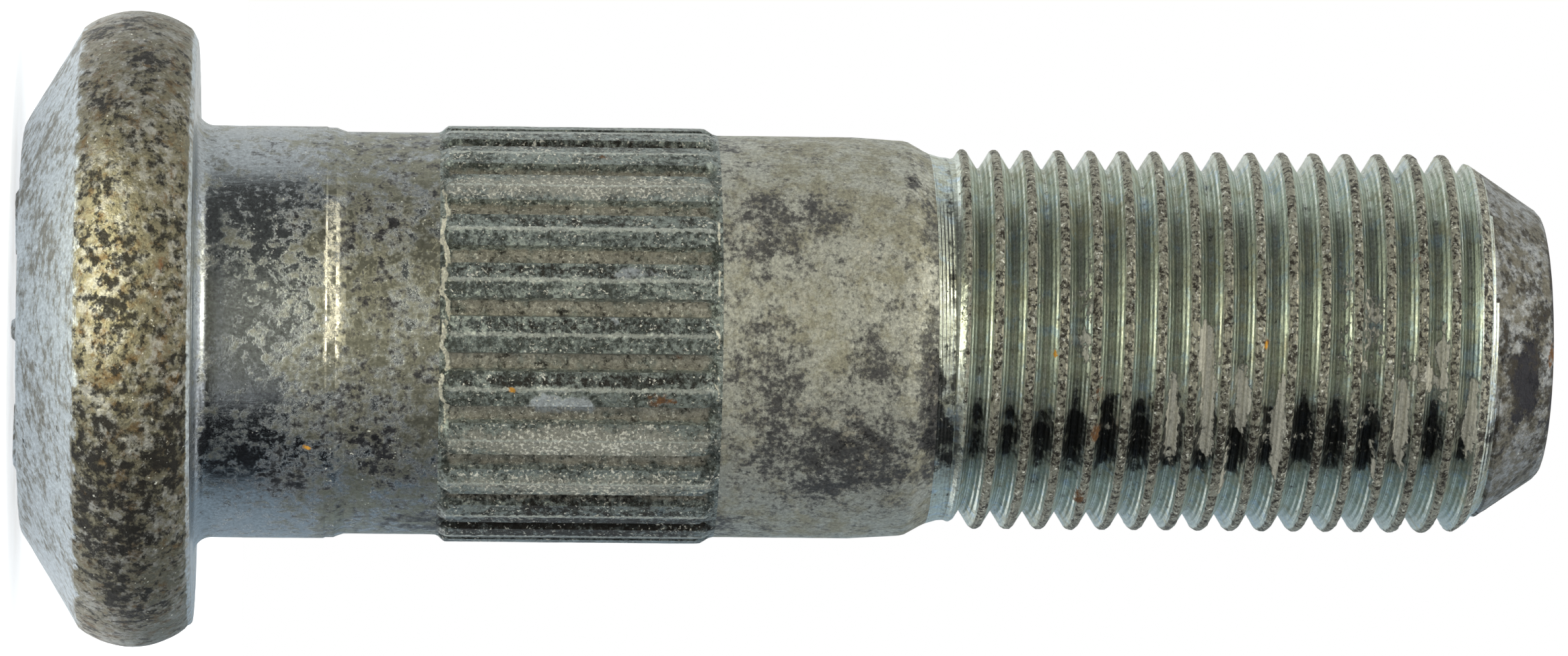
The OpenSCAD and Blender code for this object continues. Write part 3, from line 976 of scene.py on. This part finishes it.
finishes = {
    "forgedHead": {
        "color": (0.56, 0.62, 0.66), "metal": 0.85, "rough": 0.38,
        "grain": {"size": 0.55, "height": 0.16, "grit": 0.65},
        "speckle": {"size": 0.2, "detail": 6.0, "grit": 0.72, "dark": 0.6, "light": 1.25},
        "layers": {
            "dullPlate": {
                "size": 0.38, "stretch": (0.6, 1, 1), "grit": 0.72, "patch": 3.0, "sway": 0.5,
                "low": 0.46, "high": 0.64, "cover": 0.85,
                "color": (0.26, 0.245, 0.20), "metal": 0.4, "rough": 0.55},
            "oliveRim": {
                "size": 0.7, "shift": 0.11, "grit": 0.7, "paint": {"rim": 0.5}, "low": 0.70, "high": 0.92,
                "color": (0.205, 0.192, 0.135), "metal": 0.9, "rough": 0.30},
            "paleScale": {
                "size": 0.6, "shift": 0.17, "grit": 0.72, "patch": 2.5, "sway": 0.45,
                "paint": {"rim": 0.3}, "low": 0.76, "high": 0.92,
                "color": (0.36, 0.36, 0.33), "metal": 0.75, "rough": 0.4},
            "brownStain": {
                "size": 0.8, "shift": 0.53, "grit": 0.7, "paint": {"rim": 0.3}, "low": 0.80, "high": 0.96,
                "color": (0.15, 0.10, 0.045), "metal": 0.6, "rough": 0.45},
            "blackPits": {
                "size": 0.45, "shift": 0.23, "grit": 0.72, "patch": 2.2, "sway": 0.4,
                "paint": {"rim": 0.14, "grime": 0.15}, "low": 0.64, "high": 0.78,
                "color": (0.012, 0.010, 0.006), "metal": 0.4, "rough": 0.45, "height": -0.06},
            "bareSpecks": dict(bareSpecks, paint={"rim": 0.04}, low=0.71, high=0.78),
            "brownRust": rusts["brownRust"],
        },
    },
    "turnedPilot": {
        "color": (0.42, 0.455, 0.48), "metal": 1.0, "rough": 0.23,
        "grain": {"size": 0.3, "stretch": (1, 1, 0.1), "height": 0.014, "detail": 5.0},
        "speckle": {"size": 0.16, "detail": 6.0, "grit": 0.72, "dark": 0.6, "light": 1.3},
        "layers": {
            "patina": {
                "size": 0.8, "shift": 0.13, "grit": 0.7, "patch": 3.0, "sway": 0.4,
                "paint": {"stain": 0.16}, "low": 0.52, "high": 0.74, "cover": 0.9,
                "color": (0.285, 0.28, 0.205), "metal": 0.82, "rough": 0.34, "height": 0.02},
            "greyStain": {
                "size": 0.45, "shift": 0.29, "grit": 0.74, "patch": 2.0, "sway": 0.3,
                "paint": {"stain": 0.07, "grime": 0.14}, "low": 0.56, "high": 0.74,
                "color": (0.07, 0.07, 0.075), "metal": 0.85, "rough": 0.33, "height": -0.015},
            "blackStain": {
                "size": 0.4, "shift": 0.37, "grit": 0.72, "patch": 2.0, "sway": 0.3,
                "paint": {"grime": 0.2}, "low": 0.68, "high": 0.84,
                "color": (0.015, 0.014, 0.014), "metal": 0.4, "rough": 0.45},
            "bareSpecks": dict(bareSpecks, paint={"stain": 0.05}, low=0.72, high=0.78),
            # painted highlight along the pilot's bare step edges
            "bareSteps": {
                "size": 0.4, "shift": 0.71, "detail": 5.0, "grit": 0.7,
                "paint": {"bare": 0.5}, "low": 0.86, "high": 1.02,
                "color": (0.80, 0.78, 0.66), "metal": 0.9, "rough": 0.25},
            **rusts,
        },
    },
    "pressedTeeth": {
        "color": (0.32, 0.37, 0.36), "metal": 1.0, "rough": 0.28,
        "grain": {"size": 0.28, "height": 0.09, "detail": 6.0, "grit": 0.7},
        "speckle": {"size": 0.14, "detail": 6.0, "grit": 0.75, "dark": 0.5, "light": 1.4},
        "layers": {
            "darkMottle": {
                "size": 0.28, "shift": 0.13, "grit": 0.76, "patch": 1.6, "sway": 0.35,
                "low": 0.43, "high": 0.62,
                "color": (0.065, 0.075, 0.07), "metal": 0.9, "rough": 0.34, "height": -0.04},
            "valleyDirt": {
                "size": 0.7, "shift": 0.19, "grit": 0.72,
                "paint": {"groove": 0.42}, "low": 0.70, "high": 0.96, "cover": 0.95,
                "color": (0.40, 0.385, 0.32), "metal": 0.35, "rough": 0.6, "height": 0.05},
            "paleDust": {
                "size": 0.22, "shift": 0.91, "grit": 0.76,
                "paint": {"dust": 0.4, "groove": -0.3}, "low": 0.66, "high": 0.90,
                "color": (0.38, 0.38, 0.33), "metal": 0.5, "rough": 0.4, "height": 0.05},
            # dark dirt, which also carries the painted shade on one facet of each tooth
            "blackDirt": {
                "size": 0.35, "shift": 0.29, "grit": 0.74,
                "paint": {"groove": 0.08, "grime": 0.24}, "low": 0.58, "high": 0.74,
                "color": (0.03, 0.028, 0.024), "metal": 0.6, "rough": 0.42},
            "residue": {
                "size": 0.6, "shift": 0.37, "grit": 0.7,
                "paint": {"residue": 0.35}, "low": 0.66, "high": 0.84, "cover": 0.85,
                "color": (0.44, 0.48, 0.50), "metal": 0.2, "rough": 0.55, "height": 0.03},
            "bareSpecks": dict(bareSpecks, size=0.16, paint={"dust": 0.07}, low=0.60, high=0.68),
            "wornRidge": {
                "size": 0.25, "shift": 0.77, "detail": 5.0, "grit": 0.7,
                "paint": {"crest": 0.5, "dust": -0.1}, "low": 0.76, "high": 0.90, "cover": 0.85,
                "color": (0.58, 0.62, 0.58), "metal": 0.8, "rough": 0.3},
            # painted highlight: a bright bare line at the teeth's ends, on the camera's side
            "bareEnds": {
                "size": 0.3, "shift": 0.71, "detail": 5.0, "grit": 0.7,
                "paint": {"bare": 0.8}, "low": 0.86, "high": 1.02,
                "color": (0.90, 0.87, 0.70), "metal": 0.25, "rough": 0.35, "height": 0.03},
            **rusts,
        },
    },
    "dullShank": {
        "color": (0.54, 0.55, 0.49), "metal": 0.8, "rough": 0.42,
        "grain": {"size": 0.45, "height": 0.10, "grit": 0.7},
        "speckle": {"size": 0.17, "detail": 6.0, "grit": 0.75, "dark": 0.5, "light": 1.4},
        "layers": {
            "patina": {
                "size": 1.1, "shift": 0.13, "grit": 0.74, "patch": 4.0, "sway": 0.5,
                "low": 0.42, "high": 0.64, "cover": 0.9,
                "color": (0.34, 0.325, 0.235), "metal": 0.55, "rough": 0.52},
            "greyStain": {
                "size": 0.28, "shift": 0.29, "grit": 0.74, "patch": 1.2, "sway": 0.4,
                "paint": {"grime": 0.2}, "low": 0.48, "high": 0.72,
                "color": (0.11, 0.11, 0.11), "metal": 0.75, "rough": 0.42, "height": -0.02},
            "blackStain": {
                "size": 0.28, "shift": 0.37, "grit": 0.76, "patch": 1.8, "sway": 0.25,
                "paint": {"grime": 0.13}, "low": 0.64, "high": 0.80,
                "color": (0.018, 0.017, 0.02), "metal": 0.5, "rough": 0.42, "height": -0.03},
            "palePatch": {
                "size": 0.5, "shift": 0.45, "grit": 0.74, "patch": 2.5, "sway": 0.4,
                "low": 0.56, "high": 0.72, "cover": 0.7,
                "color": (0.50, 0.47, 0.37), "metal": 0.5, "rough": 0.5},
            "bareSpecks": dict(bareSpecks, low=0.72, high=0.78),
            "brownRust": rusts["brownRust"],
        },
    },
    "rolledThread": {
        "color": (0.70, 0.76, 0.69), "metal": 1.0, "rough": 0.28,
        "grain": {"size": 0.3, "height": 0.03, "detail": 6.0},
        "speckle": {"size": 0.15, "detail": 6.0, "grit": 0.75, "dark": 0.55, "light": 1.35},
        "lines": {"along": "flank", "count": 9.0, "height": 0.03, "size": 2.5, "detail": 3.0},
        "layers": {
            "patina": {
                "size": 0.9, "shift": 0.13, "grit": 0.7, "patch": 5.0, "sway": 0.4,
                "low": 0.46, "high": 0.68, "cover": 0.8,
                "color": (0.46, 0.46, 0.33), "metal": 0.8, "rough": 0.42},
            "bluePlate": {
                "size": 0.6, "shift": 0.57, "detail": 6.0, "patch": 3.0, "sway": 0.5,
                "paint": {"crest": -0.3}, "low": 0.54, "high": 0.66, "cover": 0.7,
                "color": (0.56, 0.70, 0.80), "metal": 0.95, "rough": 0.3},
            "wornCrest": {
                "size": 0.35, "shift": 0.19, "grit": 0.75, "patch": 1.2, "sway": 0.4,
                "paint": {"crest": 0.5}, "low": 0.74, "high": 0.96,
                "color": (0.37, 0.36, 0.29), "metal": 0.65, "rough": 0.46, "height": -0.03},
            "crestPits": {
                "size": 0.25, "shift": 0.29, "detail": 6.0, "grit": 0.75, "patch": 1.0, "sway": 0.2,
                "paint": {"crest": 0.14, "grime": 0.06}, "low": 0.62, "high": 0.74,
                "color": (0.035, 0.028, 0.02), "metal": 0.4, "rough": 0.5, "height": -0.05},
            # painted shade: near black towards the thread's roots, strongest in the thread's painted dark
            # band
            "blackGroove": {
                "size": 0.7, "shift": 0.83, "grit": 0.7, "patch": 1.6, "sway": 0.3,
                "paint": {"flank": 0.6, "grime": 0.45, "crest": -0.2}, "low": 0.84, "high": 1.0, "cover": 0.9,
                "color": (0.02, 0.02, 0.024), "metal": 0.9, "rough": 0.3},
            "bareSpecks": dict(bareSpecks, size=0.18, paint={"crest": 0.1}, low=0.68, high=0.78),
            "residue": {
                "size": 0.45, "shift": 0.37, "grit": 0.74, "patch": 1.2, "sway": 0.4,
                "paint": {"residue": 0.38, "crest": -0.2}, "low": 0.65, "high": 0.72,
                "color": (0.54, 0.52, 0.43), "metal": 0.1, "rough": 0.7, "height": 0.16},
            **rusts,
        },
    },
    "turnedPoint": {
        "color": (0.38, 0.40, 0.41), "metal": 0.9, "rough": 0.42,
        "grain": {"size": 0.45, "height": 0.12, "grit": 0.7},
        "speckle": {"size": 0.17, "detail": 6.0, "grit": 0.74, "dark": 0.5, "light": 1.3},
        "layers": {
            "patina": {
                "size": 0.6, "shift": 0.13, "grit": 0.72, "patch": 2.5, "sway": 0.4,
                "low": 0.38, "high": 0.60,
                "color": (0.18, 0.17, 0.135), "metal": 0.65, "rough": 0.5},
            "brownStain": {
                "size": 0.45, "shift": 0.33, "grit": 0.72, "patch": 1.5, "sway": 0.5,
                "paint": {"grime": 0.2}, "low": 0.50, "high": 0.68,
                "color": (0.055, 0.048, 0.036), "metal": 0.6, "rough": 0.5, "height": -0.03},
            "blackStain": {
                "size": 0.4, "shift": 0.29, "grit": 0.7, "paint": {"grime": 0.3}, "low": 0.62, "high": 0.78,
                "color": (0.010, 0.010, 0.018), "metal": 0.3, "rough": 0.45},
            "bareSpecks": dict(bareSpecks, low=0.70, high=0.76),
            "brownRust": rusts["brownRust"],
        },
    },
}


studPiece = makeStud()
for regionName in regionNames:
    studPiece.data.materials.append(makeFinish(regionName, finishes[regionName]))
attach(studPiece, "root")
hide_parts("wheel_stud")
print("stud made")
